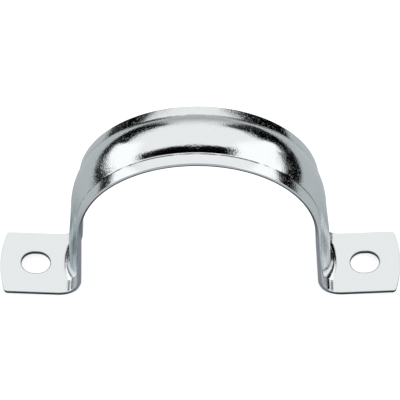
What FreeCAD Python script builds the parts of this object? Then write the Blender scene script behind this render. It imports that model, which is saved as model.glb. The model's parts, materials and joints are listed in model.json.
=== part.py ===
"""Two-hole conduit strap, pressed in one piece from zinc-plated steel sheet.

The strap stands on its feet. X runs from foot to foot, Y runs along the
conduit and Z points up, away from the wall. The origin is under the crown,
at the height of the lowest line of the heels. Sizes are in millimetres and
angles in degrees.

The sheet is a saddle over the conduit: a round arch, two straight legs and
two feet bent outwards. A domed rib runs along the middle of the saddle and
dies out in the bends of the feet. It is pressed out of the sheet itself, so
the inside of the strap is hollow along the rib.
"""
import math
import os

import FreeCAD
import Part

# ---- Driving dimensions ----

CONDUIT_DIAMETER = 88.9      # outside diameter of 3 in conduit
CONDUIT_CLEARANCE = 0.5      # between the conduit and the sprung arch, on the radius
SADDLE_HEIGHT = 85.8         # wall to the inside of the crown: less than the conduit, so it clamps
SHEET = 1.6                  # 16 gauge steel with its zinc

FOOT_WIDTH = 27.9            # over the feet, as sheared
EDGE_DRAW_IN = 0.75          # how far the rib has drawn in each edge of the arch and the legs
WIDENING_START = 3.0         # height up to which the strap has the width of the feet
WIDENING_END = 15.0          # height from which its edges are drawn in

RIB_WIDTH = 18.2             # between the roots of the rib
RIB_HEIGHT = 3.4             # crown of the rib above the rims
RIB_ROOT_RADIUS = 1.2        # hollow corner between a rim and the rib

LEG_SPLAY = 2.1              # each leg leans out by this, sprung back from the press
FOOT_RISE = 4.0              # each foot rises to its tip by this, until a bolt pulls it flat
BEND_RADIUS = 9.0            # underside of the bend, at the rims
BEND_TIGHTENING = 1.0        # how much smaller the bend gets for each millimetre of rib
FOOT_LEAD = 1.0              # flat length between the last of the bend and the plain foot plate

STRAP_LENGTH = 157.2         # tip to tip
TIP_RADIUS = 45.0            # round end of a foot, seen from above
TIP_CORNER_RADIUS = 1.5

SLOT_SPACING = 129.5         # centre to centre
SLOT_LENGTH = 11.4           # along the strap
SLOT_WIDTH = 10.0            # clears a 3/8 in bolt

RIB_STEPS = 8                # sections through each half of the rib
TOOL_MARGIN = 5.0            # how far a cutting tool reaches past the sheet

# ---- Worked out from them ----

STRAP_WIDTH = FOOT_WIDTH - 2 * EDGE_DRAW_IN
ARCH_RADIUS = CONDUIT_DIAMETER / 2 + CONDUIT_CLEARANCE
ARCH_CENTRE_Z = SADDLE_HEIGHT - ARCH_RADIUS
RIB_ROOT_Y = RIB_WIDTH / 2
TOP_Z = SADDLE_HEIGHT + SHEET + RIB_HEIGHT
TOOL_BOTTOM_Z = -TOOL_MARGIN
TOOL_TOP_Z = TOP_Z + TOOL_MARGIN

# The dome of the rib is one arc. It touches the two hollow root arcs, so its
# centre lies this far below the outer face of the rims.
DOME_CENTRE_DEPTH = (RIB_ROOT_Y**2 - RIB_HEIGHT**2) / (2 * RIB_HEIGHT) - RIB_ROOT_RADIUS
DOME_RADIUS = DOME_CENTRE_DEPTH + RIB_HEIGHT
RIB_SLOPE_SINE = RIB_ROOT_Y / (DOME_RADIUS + RIB_ROOT_RADIUS)


def direction(angle):
    """Unit vector in the XZ plane, turned up from +X by the angle."""
    return math.cos(math.radians(angle)), math.sin(math.radians(angle))


def along(start, normal, distance):
    return start[0] + normal[0] * distance, start[1] + normal[1] * distance


def mirrored(point):
    return -point[0], point[1]


# The right leg's inner face and the right foot's underside are two planes. The
# heel arc at the rims touches both, and its lowest line is the origin's height.
LEG_NORMAL = direction(LEG_SPLAY)
FOOT_NORMAL = direction(90 + FOOT_RISE)
BEND_NORMAL = direction((LEG_SPLAY + 90 + FOOT_RISE) / 2)
LEG_DISTANCE = LEG_NORMAL[1] * ARCH_CENTRE_Z + ARCH_RADIUS
HEEL_X = (LEG_DISTANCE + BEND_RADIUS * (1 - LEG_NORMAL[1])) / LEG_NORMAL[0]
FOOT_DISTANCE = FOOT_NORMAL[0] * HEEL_X + (FOOT_NORMAL[1] - 1) * BEND_RADIUS


def rib_rise(y, depth):
    """Height of the rib above the rims at y, on the face this deep in the sheet."""
    root = RIB_ROOT_RADIUS + depth
    dome = DOME_RADIUS - depth
    inside_root = RIB_ROOT_Y - abs(y)
    if inside_root <= 0:
        return 0.0
    if abs(y) > dome * RIB_SLOPE_SINE:
        return root - math.sqrt(root**2 - inside_root**2)
    return math.sqrt(dome**2 - y**2) - DOME_CENTRE_DEPTH + depth


def bend_centre(from_leg, from_foot):
    """Centre of a bend, from its distances to the leg's and the foot's planes through the origin."""
    (leg_x, leg_z), (foot_x, foot_z) = LEG_NORMAL, FOOT_NORMAL
    scale = leg_x * foot_z - leg_z * foot_x
    return (
        (from_leg * foot_z - from_foot * leg_z) / scale,
        (from_foot * leg_x - from_leg * foot_x) / scale,
    )


def bend_points(y, depth):
    """Points along the right half of one face of the sheet at y, from the crown to the foot."""
    outward = SHEET - depth
    rise = rib_rise(y, depth)
    arch = ARCH_RADIUS + outward + rise
    bend = BEND_RADIUS - outward - BEND_TIGHTENING * rise
    centre = bend_centre(LEG_DISTANCE + outward + rise + bend, FOOT_DISTANCE + outward + bend)
    return {
        "crown": (0, ARCH_CENTRE_Z + arch),
        "leg_top": along((0, ARCH_CENTRE_Z), LEG_NORMAL, arch),
        "leg_end": along(centre, LEG_NORMAL, -bend),
        "bend": along(centre, BEND_NORMAL, -bend),
        "foot_start": along(centre, FOOT_NORMAL, -bend),
    }


def foot_point(x, depth):
    """Point of the right foot at x, on the face this deep in the sheet."""
    return x, (FOOT_DISTANCE + SHEET - depth - FOOT_NORMAL[0] * x) / FOOT_NORMAL[1]


# The bend reaches furthest out under the crown of the rib or under the rims.
BEND_END_X = max(bend_points(y, SHEET)["foot_start"][0] for y in (0, RIB_ROOT_Y))
PLATE_X = BEND_END_X + FOOT_LEAD


def in_plane(y, *points):
    return [FreeCAD.Vector(x, y, z) for x, z in points]


def line(y, *points):
    return Part.LineSegment(*in_plane(y, *points)).toShape()


def arc(y, *points):
    return Part.Arc(*in_plane(y, *points)).toShape()


def face_edges(y, depth):
    """One face of the sheet at y as a chain of edges, from the left foot plate to the right one."""
    right = bend_points(y, depth)
    right["plate"] = foot_point(PLATE_X, depth)
    left = {name: mirrored(point) for name, point in right.items()}
    return [
        line(y, left["plate"], left["foot_start"]),
        arc(y, left["foot_start"], left["bend"], left["leg_end"]),
        line(y, left["leg_end"], left["leg_top"]),
        arc(y, left["leg_top"], right["crown"], right["leg_top"]),
        line(y, right["leg_top"], right["leg_end"]),
        arc(y, right["leg_end"], right["bend"], right["foot_start"]),
        line(y, right["foot_start"], right["plate"]),
    ]


def section(y):
    """The saddle cut at y, as a closed wire with the same edges in the same order at every y."""
    outer, inner = foot_point(PLATE_X, 0.0), foot_point(PLATE_X, SHEET)
    right_end = line(y, outer, inner)
    left_end = line(y, mirrored(inner), mirrored(outer))
    return Part.Wire(face_edges(y, 0.0) + [right_end] + face_edges(y, SHEET)[::-1] + [left_end])


def saddle():
    """The ribbed arch with its legs and bends, still as wide as the feet."""
    steps = range(-RIB_STEPS, RIB_STEPS + 1)
    rib = [RIB_ROOT_Y * math.sin(math.pi / 2 * step / RIB_STEPS) for step in steps]
    places = [-FOOT_WIDTH / 2] + rib + [FOOT_WIDTH / 2]
    return Part.makeLoft([section(y) for y in places], True, True)


def prism(edges, along_vector):
    return Part.Face(Part.Wire(edges)).extrude(along_vector)


def foot_plate(side):
    """The flat of one foot, still square past its tip."""
    tip_x = STRAP_LENGTH / 2 + TOOL_MARGIN
    corners = [
        foot_point(PLATE_X, 0.0),
        foot_point(tip_x, 0.0),
        foot_point(tip_x, SHEET),
        foot_point(PLATE_X, SHEET),
    ]
    ring = [(side * x, z) for x, z in corners + corners[:1]]
    outline = Part.makePolygon(in_plane(-FOOT_WIDTH / 2, *ring))
    return prism(outline.Edges, FreeCAD.Vector(0, FOOT_WIDTH, 0))


def side_trimmer():
    """What the sheet lacks on the +Y side, heel to heel, where the rib has drawn its edge in."""
    height = WIDENING_END - WIDENING_START
    flare_radius = (height**2 + EDGE_DRAW_IN**2) / (2 * EDGE_DRAW_IN)
    middle_z = WIDENING_END - height / 2
    middle_y = STRAP_WIDTH / 2 + flare_radius - math.sqrt(flare_radius**2 - (height / 2)**2)
    outside_y = FOOT_WIDTH / 2 + TOOL_MARGIN

    def at(y, z):
        return FreeCAD.Vector(-HEEL_X, y, z)

    flare_foot = at(FOOT_WIDTH / 2, WIDENING_START)
    flare_top = at(STRAP_WIDTH / 2, WIDENING_END)
    flare = Part.Arc(flare_foot, at(middle_y, middle_z), flare_top).toShape()
    corners = [
        flare_top,
        at(STRAP_WIDTH / 2, TOOL_TOP_Z),
        at(outside_y, TOOL_TOP_Z),
        at(outside_y, WIDENING_START),
        flare_foot,
    ]
    return prism([flare] + Part.makePolygon(corners).Edges, FreeCAD.Vector(2 * HEEL_X, 0, 0))


def tip_outline():
    """Everything between the two round tips, as a tall prism."""
    side_y = FOOT_WIDTH / 2 + TOOL_MARGIN
    tip_x = STRAP_LENGTH / 2
    side_x = tip_x - TIP_RADIUS + math.sqrt(TIP_RADIUS**2 - side_y**2)

    def at(x, y):
        return FreeCAD.Vector(x, y, TOOL_BOTTOM_Z)

    edges = [
        Part.Arc(at(side_x, -side_y), at(tip_x, 0), at(side_x, side_y)).toShape(),
        Part.LineSegment(at(side_x, side_y), at(-side_x, side_y)).toShape(),
        Part.Arc(at(-side_x, side_y), at(-tip_x, 0), at(-side_x, -side_y)).toShape(),
        Part.LineSegment(at(-side_x, -side_y), at(side_x, -side_y)).toShape(),
    ]
    return prism(edges, FreeCAD.Vector(0, 0, TOOL_TOP_Z - TOOL_BOTTOM_Z))


def slot_punch(centre_x):
    """A round-ended punch. It stands upright, as the bolts do once the feet are pulled flat."""
    end_radius = SLOT_WIDTH / 2
    half_straight = (SLOT_LENGTH - SLOT_WIDTH) / 2
    height = TOOL_TOP_Z - TOOL_BOTTOM_Z
    ends = [
        Part.makeCylinder(end_radius, height, FreeCAD.Vector(centre_x + side * half_straight, 0, TOOL_BOTTOM_Z))
        for side in (-1, 1)
    ]
    corner = FreeCAD.Vector(centre_x - half_straight, -end_radius, TOOL_BOTTOM_Z)
    middle = Part.makeBox(2 * half_straight, SLOT_WIDTH, height, corner)
    return middle.fuse(ends)


def is_tip_corner(edge):
    """True for the four short edges, through the sheet, at the corners of the feet."""
    middle = edge.CenterOfMass
    on_side = abs(abs(middle.y) - FOOT_WIDTH / 2) < SHEET / 10
    past_bend = abs(middle.x) > PLATE_X + SHEET
    return on_side and past_bend and edge.Length < 2 * SHEET


def strap():
    trimmer = side_trimmer()
    trimmers = [trimmer, trimmer.mirror(FreeCAD.Vector(0, 0, 0), FreeCAD.Vector(0, 1, 0))]
    blank = saddle().cut(trimmers).fuse([foot_plate(-1), foot_plate(1)]).common(tip_outline())
    corners = [edge for edge in blank.Edges if is_tip_corner(edge)]
    rounded = blank.Solids[0].makeFillet(TIP_CORNER_RADIUS, corners)
    punched = rounded.cut([slot_punch(side * SLOT_SPACING / 2) for side in (-1, 1)])
    return punched.removeSplitter().Solids[0]


if __name__ == "__main__":
    os.makedirs("parts", exist_ok=True)
    shape = strap()
    shape.exportStep("parts/strap.step")
    box = shape.BoundBox
    print("strap", shape.isValid(), len(shape.Faces), "faces", round(shape.Volume), "mm3")
    print("size", round(box.XLength, 2), round(box.YLength, 2), round(box.ZLength, 2))
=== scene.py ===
# %% [markdown]
# # Conduit strap
#
# A two-hole strap that holds a 3 in conduit to a wall. It is one pressing of zinc-plated
# steel sheet: an arch with a domed rib along its middle, two straight legs, and two flat
# feet with a slot for a bolt in each. The packed CAD model gives the frame, and each cell
# below makes one thing in that frame, in metres.

# %% Load the frame
import json
import math

import bmesh
import bpy
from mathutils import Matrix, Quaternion, Vector


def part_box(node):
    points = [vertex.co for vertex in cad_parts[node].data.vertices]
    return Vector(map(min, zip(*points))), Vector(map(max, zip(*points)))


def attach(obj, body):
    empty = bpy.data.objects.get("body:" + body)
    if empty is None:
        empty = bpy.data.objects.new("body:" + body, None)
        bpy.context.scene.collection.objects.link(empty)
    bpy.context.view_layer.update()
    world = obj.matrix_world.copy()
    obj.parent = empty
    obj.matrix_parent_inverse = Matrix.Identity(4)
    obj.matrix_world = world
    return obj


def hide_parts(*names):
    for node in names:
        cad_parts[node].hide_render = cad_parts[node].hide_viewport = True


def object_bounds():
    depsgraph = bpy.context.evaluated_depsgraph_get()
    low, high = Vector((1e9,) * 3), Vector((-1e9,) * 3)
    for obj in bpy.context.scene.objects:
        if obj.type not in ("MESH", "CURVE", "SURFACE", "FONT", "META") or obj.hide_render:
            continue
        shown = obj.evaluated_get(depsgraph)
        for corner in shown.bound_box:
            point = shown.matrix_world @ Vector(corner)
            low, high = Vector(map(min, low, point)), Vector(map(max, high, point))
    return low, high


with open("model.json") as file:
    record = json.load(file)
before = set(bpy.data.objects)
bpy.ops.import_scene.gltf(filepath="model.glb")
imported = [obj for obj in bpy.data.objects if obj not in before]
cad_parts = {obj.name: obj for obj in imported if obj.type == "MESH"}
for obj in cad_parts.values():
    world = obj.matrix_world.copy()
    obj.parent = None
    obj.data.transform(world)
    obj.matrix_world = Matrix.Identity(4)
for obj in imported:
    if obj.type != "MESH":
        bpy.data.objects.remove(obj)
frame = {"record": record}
cad_low, cad_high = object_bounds()
strap_low, strap_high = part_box("strap")
print("CAD box in mm", [round(1000 * v, 1) for v in (*cad_low, *cad_high)])

# %% [markdown]
# ## Sizes
#
# The record's mounts say where the conduit, the bolts and the wall go, and the node's box
# says how far the sheet reaches. Together they give nearly every size, and a size that is
# read from the frame can't drift away from the CAD model.

# %% Sizes that the frame gives
mounts = {mount["name"]: mount for mount in frame["record"]["mounts"]}
conduit, slots, foot = mounts["conduit"], mounts["bolt_slots"], mounts["right_foot_underside"]

ARCH_RADIUS = conduit["dims"]["r_mm"] / 1000
ARCH_CENTRE = conduit["pos_m"][2]
STRAP_HALF = conduit["dims"]["length_mm"] / 2000
FOOT_HALF = strap_high.y
TIP_X = strap_high.x
SLOT_X = slots["dims"]["spacing_x_mm"] / 2000
SLOT_RADIUS = slots["dims"]["hole_r_mm"] / 1000
SLOT_STRAIGHT = slots["dims"]["slot_length_mm"] / 2000 - SLOT_RADIUS
FOOT_RISE = math.asin(foot["axis"][0])
print("slots", round(2000 * SLOT_X, 1), "mm apart, feet rise", round(math.degrees(FOOT_RISE), 1), "degrees")

# %% [markdown]
# The frame can't say how the press tools were ground: the sheet's thickness, the rib's
# width, the radii of its roots and bends, and how the sheet gives where it is drawn hardest.
# Those sizes are named here.

# %% Sizes that the press tools give
SHEET = 0.0016
RIB_HALF = 0.0091
RIB_HEIGHT = strap_high.z - ARCH_CENTRE - ARCH_RADIUS - SHEET
RIB_ROOT = 0.0012

LEG_SPLAY = math.radians(2.1)
BEND_RADIUS = 0.009  # outside of the heel
BEND_TIGHTENING = 1.0  # share of the rib's height that the heel's radius gives up
WIDENING = (0.003, 0.015)  # heights between which the edges draw in

RIM_DROOP = 0.0005  # at the outer edge of the rims
FLANK_FALL = 0.35  # share of the rib's height that is lost on the arch's shoulders
ROLLOVER = 0.0002  # round that the shear leaves on every edge

TIP_RADIUS = 0.045
TIP_CORNER = 0.0015
SLOT_MARGIN = 0.0012
PLATE_X = SLOT_X - SLOT_STRAIGHT - SLOT_RADIUS - SLOT_MARGIN
print("rib", round(2000 * RIB_HALF, 1), "mm wide and", round(1000 * RIB_HEIGHT, 2), "mm high")

# %% [markdown]
# ## Numbers in node trees
#
# The strap's shape, its finish and the studio are all rules, and rules in Blender are trees
# of Math nodes. Written out node by node they can't be read. A small class fixes that:
# ordinary arithmetic on a `Field` adds the Math nodes, so a rule in a tree reads like the
# same rule on paper.

# %% Arithmetic that builds nodes
class Field:
    def __init__(self, tree, socket):
        self.tree, self.socket = tree, socket

    def math(self, operation, *others, first=None):
        node = self.tree.nodes.new("ShaderNodeMath")
        node.operation = operation
        operands = (self, *others) if first is None else (first, self)
        for slot, value in zip(node.inputs, operands):
            plug(self.tree, value, slot)
        return Field(self.tree, node.outputs[0])

    def __add__(self, other): return self.math("ADD", other)
    def __radd__(self, other): return self.math("ADD", other)
    def __sub__(self, other): return self.math("SUBTRACT", other)
    def __rsub__(self, other): return self.math("SUBTRACT", first=other)
    def __mul__(self, other): return self.math("MULTIPLY", other)
    def __rmul__(self, other): return self.math("MULTIPLY", other)
    def __truediv__(self, other): return self.math("DIVIDE", other)
    def __neg__(self): return self.math("MULTIPLY", -1)
    def sin(self): return self.math("SINE")
    def cos(self): return self.math("COSINE")
    def root(self): return self.math("SQRT")
    def size(self): return self.math("ABSOLUTE")
    def sign(self): return self.math("SIGN")
    def least(self, other): return self.math("MINIMUM", other)
    def most(self, other): return self.math("MAXIMUM", other)
    def below(self, other): return self.math("LESS_THAN", other)
    def clamp(self): return self.least(1).most(0)

    def ramp(self, start, end):
        """0 before start and 1 after end, with a soft step between."""
        t = ((self - start) / (end - start)).clamp()
        return t * t * (3 - 2 * t)


def plug(tree, value, slot):
    """Put a number into a socket, or link a Field to it."""
    if isinstance(value, Field):
        tree.links.new(value.socket, slot)
    else:
        slot.default_value = value


print("a Field also knows", sorted(name for name in vars(Field) if not name.startswith("_")))


# %% Blends and vectors
def blend(share, without, full):
    """The value `without` where share is 0 and `full` where it is 1."""
    return without + share * (full - without)


def split(tree, socket):
    """The three parts of a vector socket, as Fields."""
    node = tree.nodes.new("ShaderNodeSeparateXYZ")
    tree.links.new(socket, node.inputs[0])
    return [Field(tree, output) for output in node.outputs]


def joined(tree, x, y, z):
    """One vector socket made of three Fields or numbers."""
    node = tree.nodes.new("ShaderNodeCombineXYZ")
    for slot, value in zip(node.inputs, (x, y, z)):
        plug(tree, value, slot)
    return node.outputs[0]


print("halfway from 2 to 4 is", blend(0.5, 2, 4))

# %% [markdown]
# ## The blank
#
# The real strap starts as a flat blank, sheared and punched from strip, so the model does
# too. Its mesh is a sheet with two faces and a rim between them. Across, it has its real
# width, and columns crowd together where the rib's roots will be. Along, it is laid out in
# stages that the press needs: 0 is the crown, 1 the end of the arch, 2 the end of the leg,
# 3 the end of the bend and 4 the start of the plain foot, from where it goes on in metres.

# %% Rows and columns of the blank
def spread(start, end, steps):
    """Even steps from start up to, but without, end."""
    return [start + (end - start) * i / steps for i in range(steps)]


dome_depth = (RIB_HALF**2 - RIB_HEIGHT**2) / (2 * RIB_HEIGHT) - RIB_ROOT
dome_radius = dome_depth + RIB_HEIGHT
root_start = (dome_radius - SHEET) * RIB_HALF / (dome_radius + RIB_ROOT)

half_rows = spread(0, 1, 64) + spread(1, 2, 16) + spread(2, 3, 24) + spread(3, 4, 3) + [4.0]
rows = [-u for u in half_rows[:0:-1]] + half_rows

rim = [FOOT_HALF - ROLLOVER, FOOT_HALF - 2 * ROLLOVER]
half_columns = (
    spread(0, root_start, 14)
    + spread(root_start, RIB_HALF, 14)
    + spread(RIB_HALF, rim[1], 5)
    + [rim[1], rim[0]]
)
columns = [-y for y in half_columns[:0:-1]] + half_columns
print(len(rows), "rows and", len(columns), "columns")


# %% [markdown]
# The feet have round tips and round-ended slots, so rows and columns don't fit them. Rings
# do: each foot is a set of closed lines between the slot's edge and the foot's edge, with
# the same number of points on every line.

# %% Outlines of the feet and the slots
def corner_arc(centre, radius, start, end, steps):
    """Points of an arc, both of its ends among them."""
    angles = spread(start, end, steps) + [end]
    return [(centre[0] + radius * math.cos(a), centre[1] + radius * math.sin(a)) for a in angles]


def foot_outline(inset):
    """Right foot from its -Y corner at PLATE_X round the tip, this far inside the true edge."""
    side, corner, tip = FOOT_HALF - inset, TIP_CORNER - inset, TIP_RADIUS - inset
    centre_x = TIP_X - TIP_RADIUS
    corner_y = side - corner
    reach = tip - corner
    corner_x = centre_x + math.sqrt(reach**2 - corner_y**2)
    turn = math.atan2(corner_y, corner_x - centre_x)
    lower = [(x, -side) for x in spread(PLATE_X, corner_x, 16)]
    lower += corner_arc((corner_x, -corner_y), corner, -math.pi / 2, -turn, 8)[:-1]
    nose = corner_arc((centre_x, 0), tip, -turn, turn, 28)
    upper = [(x, -y) for x, y in reversed(lower)]
    return lower + nose + upper


def slot_outline(angles, inset):
    """Right slot's edge, this far outside the true one, at these angles from its middle."""
    radius = SLOT_RADIUS + inset
    points = []
    for a in angles:
        end_x = SLOT_X + math.copysign(SLOT_STRAIGHT, math.cos(a))
        points.append((end_x + radius * math.cos(a), radius * math.sin(a)))
    return points


foot_ring = foot_outline(ROLLOVER) + [(PLATE_X, y) for y in columns[-2:0:-1]]
slot_angles = [math.atan2(y, x - SLOT_X) for x, y in foot_ring]
print(len(foot_ring), "points round a foot")


# %% Rings of faces
def staged(side, x, y, depth):
    """A point of a foot as the blank holds it."""
    return side * (4 + x - PLATE_X), y, -depth


def stitch(bm, rings, closed):
    """Quads between rings of points with as many points each."""
    made = [[bm.verts.new(point) for point in ring] for ring in rings]
    for first, second in zip(made, made[1:]):
        pairs = list(zip(first, second))
        for (a, b), (c, d) in zip(pairs, pairs[1:] + pairs[: 1 if closed else 0]):
            bm.faces.new((a, c, d, b))


def foot_face(bm, side, depth):
    """One face of a foot: rings from the slot's edge out to the foot's own edge."""
    hole = slot_outline(slot_angles, ROLLOVER)
    rings = []
    for share in (0, 0.04, 0.2, 0.4, 0.6, 0.8, 0.97, 1):
        ring = []
        for (hole_x, hole_y), (foot_x, foot_y) in zip(hole, foot_ring):
            x, y = blend(share, hole_x, foot_x), blend(share, hole_y, foot_y)
            ring.append(staged(side, x, y, depth))
        rings.append(ring)
    stitch(bm, rings, closed=True)


print("each foot has", len(foot_ring), "points on every ring")

# %% [markdown]
# A shear doesn't leave a sharp edge: it rolls the sheet over a little on the way in. That
# narrow round catches the light along every edge of the real part, so the rim of the blank
# is a strip with a quarter round at both faces.

# %% Outline of the blank and its rolled edge
quarter = [math.pi / 2 * i / 4 for i in range(5)]
edge_profile = [(ROLLOVER * (1 - math.sin(a)), ROLLOVER * (1 - math.cos(a))) for a in quarter]
edge_profile += [(0, SHEET / 2)]
edge_profile += [(ROLLOVER * (1 - math.cos(a)), SHEET - ROLLOVER * (1 - math.sin(a))) for a in quarter]


def whole_outline(inset, depth):
    """The blank's outline as one closed ring."""
    right = [staged(1, x, y, depth) for x, y in foot_outline(inset)]
    left = [staged(-1, x, y, depth) for x, y in reversed(foot_outline(inset))]
    back = [(u, FOOT_HALF - inset, -depth) for u in rows[-2:0:-1]]
    front = [(u, inset - FOOT_HALF, -depth) for u in rows[1:-1]]
    return right + back + left + front


print(len(edge_profile), "rings across the edge,", len(whole_outline(0, 0)), "points round the blank")

# %% Mesh of the blank
WELD = 1e-7  # finer than a float's own step past stage 2, so some seams there touch unjoined
bm = bmesh.new()
for depth in (0, SHEET):
    stitch(bm, [[(u, y, -depth) for y in columns] for u in rows], closed=False)
    for side in (-1, 1):
        foot_face(bm, side, depth)
stitch(bm, [whole_outline(inset, depth) for inset, depth in edge_profile], closed=True)
for side in (-1, 1):
    holes = [[staged(side, x, y, d) for x, y in slot_outline(slot_angles, i)] for i, d in edge_profile]
    stitch(bm, holes, closed=True)
bmesh.ops.remove_doubles(bm, verts=bm.verts, dist=WELD)
bmesh.ops.recalc_face_normals(bm, faces=bm.faces)
for face in bm.faces:
    face.smooth = True
open_edges = sum(not edge.is_manifold for edge in bm.edges)
blank_mesh = bpy.data.meshes.new("blank")
bm.to_mesh(blank_mesh)
bm.free()
print(len(blank_mesh.polygons), "faces,", open_edges, "open edges")

# %% [markdown]
# ## The press
#
# A press turns the flat blank into the strap in one stroke, and every point of the sheet
# goes where one rule sends it. That is what Geometry Nodes is for. The tree takes the blank
# and moves each point by the rule: how high the rib lifts it, then how far round the arch,
# down the leg, round the bend and out along the foot it lies. The rule is the CAD model's,
# so the pressed sheet fills the same space, and all that it adds is how real sheet gives
# under the press. Its sizes are inputs of the tree.

# %% Inputs of the press
press = bpy.data.node_groups.new("press", "GeometryNodeTree")
press.is_modifier = True
press.interface.new_socket(name="Geometry", in_out="INPUT", socket_type="NodeSocketGeometry")
press.interface.new_socket(name="Geometry", in_out="OUTPUT", socket_type="NodeSocketGeometry")
group_in = press.nodes.new("NodeGroupInput")
group_out = press.nodes.new("NodeGroupOutput")
press_values = {}


def press_input(name, value):
    """A named number of the press, as a Field."""
    socket = press.interface.new_socket(name=name, in_out="INPUT", socket_type="NodeSocketFloat")
    press_values[socket.identifier] = value
    return Field(press, group_in.outputs[name])


arch_radius = press_input("Arch radius", ARCH_RADIUS)
arch_centre = press_input("Arch centre height", ARCH_CENTRE)
splay = press_input("Leg splay", LEG_SPLAY)
bend_radius = press_input("Bend radius", BEND_RADIUS)
tightening = press_input("Bend tightening", BEND_TIGHTENING)
foot_rise = press_input("Foot rise", FOOT_RISE)
plate_x = press_input("Plate start", PLATE_X)
sheet = press_input("Sheet", SHEET)
rib_half = press_input("Rib half width", RIB_HALF)
rib_height = press_input("Rib height", RIB_HEIGHT)
rib_root = press_input("Rib root radius", RIB_ROOT)
foot_half = press_input("Foot half width", FOOT_HALF)
draw_in = press_input("Edge draw-in", FOOT_HALF - STRAP_HALF)
widening_start = press_input("Widening start", WIDENING[0])
widening_end = press_input("Widening end", WIDENING[1])
rim_droop = press_input("Rim droop", RIM_DROOP)
flank_fall = press_input("Flank fall", FLANK_FALL)
print(len(press_values), "inputs")

# %% [markdown]
# Across the sheet the rib is an arc that meets the flat rims in two small root arcs. The
# rule gives the height of that section for every point, on both faces, so the sheet keeps
# its thickness. A dome that is stretched over an arch isn't even, though: the rib loses
# height on the shoulders, and the rims droop to their outer edges. Both show at once in a
# bright finish, which is why they are in the rule.

# %% The rib's rule
place = press.nodes.new("GeometryNodeInputPosition").outputs[0]
stage, across, up = split(press, place)
depth = -up
outward = sheet - depth
side, stage = stage.sign(), stage.size()
off_middle = across.size()

dome_depth = (rib_half * rib_half - rib_height * rib_height) / (2 * rib_height) - rib_root
dome = dome_depth + rib_height - depth
root = rib_root + depth
dome_edge = dome * rib_half / (dome_depth + rib_height + rib_root)
inside_root = (rib_half - off_middle).most(0).least(root)
root_rise = root - (root * root - inside_root * inside_root).root()
dome_rise = (dome * dome - (off_middle * off_middle).least(dome * dome)).root() - dome_depth + depth
rim_share = ((off_middle - rib_half) / (foot_half - rib_half)).clamp()
rise = blend(off_middle.below(dome_edge), root_rise, dome_rise)
rise = rise * (1 - flank_fall * stage.ramp(0.3, 0.8) * (1 - stage.ramp(0.85, 1.75)))
rise = rise - rim_droop * rim_share * (0.7 + 0.3 * rim_share) * (1 - (stage - 1.2).clamp())
print("the rib's rule ends at node", len(press.nodes))

# %% [markdown]
# Along the sheet each point runs round the arch, down the leg, round the bend and out along
# the foot. The leg and the foot are straight lines at a known distance from the middle, and
# the bend is the arc that touches both. Where the rib comes down the leg, the leg's line
# stands further out and the bend has a smaller radius, so the rib ends in the heel by
# itself.

# %% Lines of the leg and the foot, and the bend between them
leg_distance = splay.sin() * arch_centre + arch_radius
heel_x = (leg_distance + bend_radius * (1 - splay.sin())) / splay.cos()
foot_distance = (foot_rise.cos() - 1) * bend_radius - foot_rise.sin() * heel_x

arch = arch_radius + outward + rise
bend = bend_radius - outward - tightening * rise
from_leg = leg_distance + outward + rise + bend
from_foot = foot_distance + outward + bend
scale = (splay - foot_rise).cos()
centre_x = (from_leg * foot_rise.cos() - from_foot * splay.sin()) / scale
centre_z = (from_foot * splay.cos() + from_leg * foot_rise.sin()) / scale
print("the bend's middle is known at node", len(press.nodes))

# %% Way of a point along them
arch_angle = math.pi / 2 - stage.clamp() * (math.pi / 2 - splay)
down_leg = (stage - 1).clamp()
bend_angle = splay + (stage - 2).clamp() * (math.pi / 2 + foot_rise - splay)
foot_start = centre_x + bend * foot_rise.sin()
out_foot = (stage - 3).clamp() * (plate_x - foot_start) + (stage - 4).most(0)

leg_run = centre_x - (bend + arch) * splay.cos()
leg_drop = centre_z - arch_centre - (bend + arch) * splay.sin()
x = arch * arch_angle.cos() + down_leg * leg_run + bend * (splay.cos() - bend_angle.cos()) + out_foot
z = arch_centre + arch * arch_angle.sin() + down_leg * leg_drop + bend * (splay.sin() - bend_angle.sin())
z = z + out_foot * foot_rise.sin() / foot_rise.cos()
print("x and z are known at node", len(press.nodes))

# %% [markdown]
# The rib takes its extra sheet from the sides, so the edges draw in above the heels. The
# tree also stores each point's old place on the blank as an attribute, because the finish
# needs it: plating and scratches follow the sheet, not the room. It ends in Realize
# Instances and Set Material, which make its result a plain mesh with its finish.

# %% Drawn-in edges, and the tree's end
drawn = ((widening_end - z) / (widening_end - widening_start)).clamp()
y = across - across.sign() * draw_in * (1 - drawn * drawn) * rim_share

keep = press.nodes.new("GeometryNodeStoreNamedAttribute")
keep.data_type = "FLOAT_VECTOR"
keep.inputs["Name"].default_value = "sheet_place"
press.links.new(group_in.outputs["Geometry"], keep.inputs["Geometry"])
press.links.new(place, keep.inputs["Value"])
move = press.nodes.new("GeometryNodeSetPosition")
press.links.new(keep.outputs["Geometry"], move.inputs["Geometry"])
press.links.new(joined(press, x * side, y, z), move.inputs["Position"])
realize = press.nodes.new("GeometryNodeRealizeInstances")
press.links.new(move.outputs["Geometry"], realize.inputs["Geometry"])
dress = press.nodes.new("GeometryNodeSetMaterial")
press.links.new(realize.outputs["Geometry"], dress.inputs["Geometry"])
press.links.new(dress.outputs["Geometry"], group_out.inputs["Geometry"])
print(len(press.nodes), "nodes in the press")

# %% [markdown]
# ## The zinc
#
# Bright zinc plate is a mirror that is not quite flat. Its body is a light silver with a
# little blue in it. One Principled shader makes it, fully metallic, and three things vary
# over it: how rough it is, its colour, and a very low bump. All of them follow the place
# that a point had on the blank, or the object's own coordinates.

# %% Zinc-plate material
zinc = bpy.data.materials.new("zinc_plate")
zinc.use_nodes = True
nodes, links = zinc.node_tree.nodes, zinc.node_tree.links
shader = nodes["Principled BSDF"]
shader.inputs["Metallic"].default_value = 1.0

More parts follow.
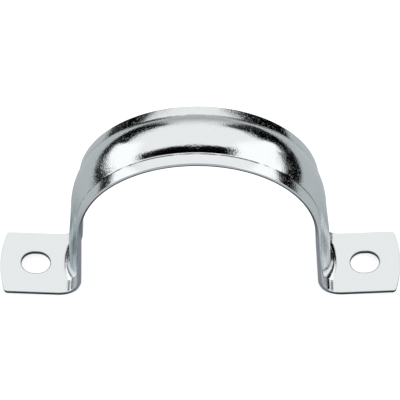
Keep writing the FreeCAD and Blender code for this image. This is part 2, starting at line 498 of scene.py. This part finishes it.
on_strap = nodes.new("ShaderNodeTexCoord").outputs["Object"]
pressed = nodes.new("ShaderNodeAttribute")
pressed.attribute_name = "sheet_place"
along, over, under = split(zinc.node_tree, pressed.outputs["Vector"])
print("material", zinc.name)

# %% Parts of the strap, as masks
far = along.size()
depth_in = -under
on_top = 1 - depth_in.ramp(0.0001, 0.0002)
at_front = over.below(0)
on_left = along.below(0)
on_leg = far.ramp(0.7, 1.2) * (1 - far.ramp(1.8, 2.4))
print("masks end at node", len(nodes))

# %% [markdown]
# Four noises make the plate. The mottle and the cloud are the plate's own unevenness, fine
# and wide. The streaks are scratches that the press tools draw down the legs, so their
# noise is stretched along the sheet. The pits are the dull specks that break up a dark
# reflection on the arch, and they are strongest at the back.


# %% Mottle, cloud, streaks and pits
def noise(vector, scale, detail=2.0):
    """Noise between 0 and 1, with this many waves to the metre."""
    node = nodes.new("ShaderNodeTexNoise")
    node.inputs["Scale"].default_value = scale
    node.inputs["Detail"].default_value = detail
    links.new(vector, node.inputs["Vector"])
    return Field(zinc.node_tree, node.outputs[0])


STREAK_STRETCH = 0.0012
grain = joined(zinc.node_tree, along * STREAK_STRETCH, over, under)

mottle = noise(on_strap, 1700.0, 3.0)
cloud = noise(on_strap, 120.0)
streak = noise(grain, 1500.0)
scored = streak.ramp(0.4, 0.62)
pitted = noise(on_strap, 1500.0, 1.0).ramp(0.54, 0.66)
pitting = blend(at_front, 0.18, 0.13 * far.ramp(0.3, 0.5)) * (1 - far.ramp(1.0, 1.4)) * on_top
print("noises end at node", len(nodes))

# %% [markdown]
# A sheared edge is smooth where the blade cut and torn where the sheet broke off. The torn
# part is duller and darker, and its near black is partly that and partly painted shade; on
# the legs it is painted lighter, as a painted reflection. A fine broken dark line in the rib's
# roots, stronger at the front, is painted shade in the creases, and a thin dark ring round
# each slot is a painted shadow.

# %% Torn edges, and painted shade in the roots and round the slots
# The torn band's near black is partly torn steel and partly painted shade; its lighter colour on the legs
# is a painted reflection.
leg_edge_sheen = far.ramp(0.7, 1.2) * (1 - far.ramp(2.2, 2.9))
sheared = 0.0008 - 0.0007 * far.ramp(0.7, 1.2)
torn_and_shaded = depth_in.ramp(sheared, sheared + 0.0002) * (1 - depth_in.ramp(0.0014, 0.00155))

# Painted shade: a fine broken dark line in the rib's roots, stronger at the front.
from_root = (over.size() - RIB_HALF + 0.0001).size()
broken = noise(on_strap, 260.0).ramp(0.3, 0.5)
root_shade = (1 - from_root.ramp(0.0001, 0.0004)) * on_top * (1 - far.ramp(2.2, 2.55)) * broken
root_shade = root_shade * (0.35 + 0.65 * at_front)

# Painted shadow: a thin dark ring round each slot.
past_straight = ((far - 4 + PLATE_X - SLOT_X).size() - SLOT_STRAIGHT).most(0)
from_slot = (past_straight * past_straight + over * over).root() - SLOT_RADIUS
painted_slot_shadow = on_top * far.ramp(3.9, 4.0) * (1 - from_slot.ramp(0.0002, 0.0004))
print("marks end at node", len(nodes))

# %% How rough the plate is
on_rim = over.size().ramp(RIB_HALF - 0.0005, RIB_HALF + 0.0005)
heel_rub = on_rim * far.ramp(1.8, 2.1) * (1 - far.ramp(2.4, 2.5))
rough = 0.1 + (cloud - 0.5) * 0.06 + pitted * pitting
rough = rough + on_leg * (0.12 + 0.12 * scored) + torn_and_shaded * 0.3 + heel_rub * 0.25
links.new(rough.socket, shader.inputs["Roughness"])
print("roughness ends at node", len(nodes))

# %% [markdown]
# The legs slide through the press, so their plate is wiped thin and shows the darker,
# bluer steel below it, most of all in the scratches. The left leg is painted darker still,
# as painted shade on that side.


# %% Colours of the plate
def mixed(share, without, full):
    """Colour socket: `without` where share is 0 and `full` where it is 1."""
    node = nodes.new("ShaderNodeMix")
    node.data_type = "RGBA"
    plug(zinc.node_tree, share, node.inputs[0])
    for slot, colour in ((node.inputs[6], without), (node.inputs[7], full)):
        if isinstance(colour, tuple):
            slot.default_value = (*colour, 1)
        else:
            links.new(colour, slot)
    return node.outputs[2]


# The wiped colour is wear on the legs, and painted shade where it darkens the left leg further.
BRIGHT_ZINC, WIPED_AND_SHADED_ZINC = (0.79, 0.82, 0.83), (0.2, 0.29, 0.34)
# The torn-steel colour is partly torn steel and partly painted shade, and the leg edges' lighter colour is
# a painted reflection.
TORN_STEEL_AND_SHADE, LIT_LEG_EDGE = (0.05, 0.055, 0.06), (0.48, 0.48, 0.52)
# The root colour is painted shade in the creases.
ROOT_SHADE = (0.03, 0.035, 0.04)

# Wiping on the legs and in the scratches is wear; the extra share on the left leg is painted shade.
wiped_and_shaded = (on_leg * (0.12 + 0.58 * on_left + 0.4 * scored)).clamp()
plate = mixed(wiped_and_shaded, BRIGHT_ZINC, WIPED_AND_SHADED_ZINC)
lined = mixed((root_shade + painted_slot_shadow * 0.8).clamp() * 0.85, plate, ROOT_SHADE)
links.new(mixed(torn_and_shaded, lined, mixed(leg_edge_sheen, TORN_STEEL_AND_SHADE, LIT_LEG_EDGE)), shader.inputs["Base Color"])
print("colours end at node", len(nodes))

# %% Bump of the plate
bump = nodes.new("ShaderNodeBump")
bump.inputs["Strength"].default_value = 1.0
bump.inputs["Distance"].default_value = 0.00003
height = (mottle - 0.5) * (0.8 + 1.3 * cloud.ramp(0.42, 0.62)) + cloud * 1.2
height = height + (streak - 0.5) * on_leg * 0.8
links.new(height.socket, bump.inputs["Height"])
links.new(bump.outputs[0], shader.inputs["Normal"])
dress.inputs["Material"].default_value = zinc
print(len(nodes), "nodes in the zinc")

# %% [markdown]
# ## Press the strap
#
# The blank goes through the tree once, and what comes out is kept as a plain mesh. It
# stands for the CAD node and rides on its body.

# %% Press it
blank = bpy.data.objects.new("blank", blank_mesh)
bpy.context.scene.collection.objects.link(blank)
modifier = blank.modifiers.new("press", "NODES")
modifier.node_group = press
for identifier, value in press_values.items():
    modifier[identifier] = value
bpy.context.view_layer.update()
evaluated = blank.evaluated_get(bpy.context.evaluated_depsgraph_get())
pressed_mesh = bpy.data.meshes.new_from_object(evaluated)
pressed_mesh.name = "pressed_strap"
bpy.data.objects.remove(blank)
print("pressed into", len(pressed_mesh.polygons), "faces")

# %% Hand it over
strap = bpy.data.objects.new("pressed_strap", pressed_mesh)
bpy.context.scene.collection.objects.link(strap)
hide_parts("strap")
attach(strap, "root")
for axis, letter in enumerate("xyz"):
    places = [1000 * vertex.co[axis] for vertex in pressed_mesh.vertices]
    print(letter, "from", round(min(places), 2), "to", round(max(places), 2), "mm")

# %% [markdown]
# ## The studio
#
# Metal shows its surroundings more than itself, so the studio is half of its look. Such a
# part is shot on a white table inside a ring of white boards: one bright board to the left
# and one to the right of the camera, a light ceiling, and dark gaps where the boards don't
# meet and where the camera stands. The world is those boards, painted by direction. To the
# camera itself the world is plain white.

# %% World, and directions in it
world = bpy.data.worlds.new("studio")
bpy.context.scene.world = world
world.use_nodes = True
tree = world.node_tree
background = tree.nodes["Background"]
background.inputs["Color"].default_value = (1, 1, 1, 1)
east, north, height = split(tree, tree.nodes.new("ShaderNodeTexCoord").outputs["Generated"])
azimuth = east.math("ARCTAN2", -north) * (180 / math.pi)
elevation = height.math("ARCSINE") * (180 / math.pi)
print("azimuth 0 is -Y, where the camera stands, and 90 is +X")


# %% Windows and straight edges in the sky
def window(azimuths, elevations, soft):
    """1 inside this window of directions, in degrees, fading to 0 over the soft border."""
    mask = 1
    for value, (low, high) in ((azimuth, azimuths), (elevation, elevations)):
        inside = value.ramp(low - soft, low + soft) * (1 - value.ramp(high - soft, high + soft))
        mask = inside * mask
    return mask


def side_of(x, y, z, edge=0.0, soft=0.04):
    """1 on the side of the sky that (x, y, z) points to, with a soft straight edge."""
    return (east * x + north * y + height * z).ramp(edge - soft, edge + soft)


print("a board is a product of edges, and a gap is a window")

# %% Ceiling and the dark gaps behind
BLACK, NEARLY_BLACK = 0.0, 0.02
BELOW_TABLE = -20

light = blend(elevation.ramp(-5, 40), 0.45, 1.0)
light = blend(window((124, 163), (BELOW_TABLE, 31), 3), light, NEARLY_BLACK)
light = blend(window((-164, -112), (BELOW_TABLE, 23), 4), light, BLACK)
print("the sky has", len(tree.nodes), "nodes so far")

# %% [markdown]
# Each board is a tall sheet that leans, so its edges are straight but slanted. On the dome
# the inner edges end the dark band of the camera's gap, and the outer ones end the bright
# patches on the shoulders. The boards stand a little above the table, and the bottom edge
# of the right one slopes.

# %% Bright boards
BOARD_LIGHT = 1.2
right_inner = side_of(0.857, 0.140, -0.495)
right_outer = side_of(0.693, -0.555, -0.459, 0.01)
right_bottom = side_of(-0.292, -0.262, 0.920, -0.07, 0.03).most(window((108, 128), (12, 60), 2))
left_inner = side_of(-0.662, 0.234, -0.712)
left_outer = side_of(-0.638, -0.665, -0.388, 0.05, 0.03)
left_bottom = elevation.ramp(1, 7)
light = blend(right_inner * right_outer * right_bottom, light, BOARD_LIGHT)
light = blend(left_inner * left_outer * left_bottom, light, BOARD_LIGHT)
print("two boards at", BOARD_LIGHT)

# %% Dark gaps in front and under the boards
camera_gap = side_of(0, -1, 0, 0.39, 0.03) * (1 - right_inner) * (1 - left_inner)
light = blend(camera_gap * elevation.ramp(14, 24), light, BLACK)
light = blend(window((58, 150), (BELOW_TABLE, 40), 3) * (1 - right_bottom), light, BLACK)
light = blend(window((126, 150), (BELOW_TABLE, 26), 2), light, BLACK)
light = blend(window((114, 150), (BELOW_TABLE, 9), 2), light, BLACK)
light = blend(window((-142, -62), (BELOW_TABLE, 5), 3), light, NEARLY_BLACK)
light_path = tree.nodes.new("ShaderNodeLightPath")
seen = Field(tree, light_path.outputs["Is Camera Ray"])
plug(tree, blend(seen, light, 1.0), background.inputs["Strength"])
print(len(tree.nodes), "nodes in the world")

# %% [markdown]
# The table is white paper under the strap. It is a round sheet that is only a stage, so it
# isn't part of the strap. Its own colour is a mid grey, which keeps the strap's shadow and
# doesn't flood the metal from below. Emission lifts it to white for the camera, and the
# metal sees a little of that too.

# %% Floor
TABLE_RADIUS = 0.45
UNDER_STRAP = 0.0001
floor_mesh = bpy.data.meshes.new("floor")
bm = bmesh.new()
bmesh.ops.create_circle(bm, cap_ends=True, segments=96, radius=TABLE_RADIUS)
bm.to_mesh(floor_mesh)
bm.free()
floor = bpy.data.objects.new("floor", floor_mesh)
floor.location.z = cad_low.z - UNDER_STRAP
bpy.context.scene.collection.objects.link(floor)
print("floor at", round(1000 * floor.location.z, 2), "mm")

# %% Paper on the floor
SEEN_BY_CAMERA, SEEN_IN_METAL = 0.78, 0.14
paper = bpy.data.materials.new("paper")
paper.use_nodes = True
tree = paper.node_tree
sheen = tree.nodes["Principled BSDF"]
sheen.inputs["Base Color"].default_value = (0.47, 0.51, 0.525, 1)
sheen.inputs["Roughness"].default_value = 0.9
sheen.inputs["Specular IOR Level"].default_value = 0.0
sheen.inputs["Emission Color"].default_value = (1, 1, 1, 1)
light_path = tree.nodes.new("ShaderNodeLightPath")
seen = Field(tree, light_path.outputs["Is Camera Ray"])
mirrored = Field(tree, light_path.outputs["Is Glossy Ray"])
plug(tree, seen * SEEN_BY_CAMERA + mirrored * SEEN_IN_METAL, sheen.inputs["Emission Strength"])
floor_mesh.materials.append(paper)
print("paper glows by", SEEN_BY_CAMERA, "to the camera and", SEEN_IN_METAL, "to the metal")

# %% [markdown]
# ## The camera
#
# A long lens from far off keeps the two feet the same size. It looks down steeply, so the
# dome, the front rims and both slots show at once, and it stands a little to the right.

# %% Camera
ELEVATION, AZIMUTH, ROLL = math.radians(55.61), math.radians(1.83), math.radians(-1.57)
DISTANCE = 1.1634
LENS = 270
STAND_SHIFT = Vector((0, 0, -0.02215))
AIM_SHIFT = Vector((0.0003, 0.0102, -0.01515))

middle = (cad_low + cad_high) / 2
aim = middle + AIM_SHIFT
forward = Vector((
    -math.sin(AZIMUTH) * math.cos(ELEVATION),
    math.cos(AZIMUTH) * math.cos(ELEVATION),
    -math.sin(ELEVATION),
))
stand = middle + STAND_SHIFT - DISTANCE * forward

camera = bpy.data.objects.new("camera", bpy.data.cameras.new("camera"))
bpy.context.scene.collection.objects.link(camera)
bpy.context.scene.camera = camera
camera.data.lens = LENS
camera.data.clip_start, camera.data.clip_end = 0.05, 20
camera.location = stand
camera.rotation_mode = "QUATERNION"
camera.rotation_quaternion = (aim - stand).to_track_quat("-Z", "Y") @ Quaternion((0, 0, 1), ROLL)
bpy.context.scene.view_settings.view_transform = "Standard"
print("camera", [round(v, 3) for v in camera.location])

# %% Update the scene
bpy.context.view_layer.update()
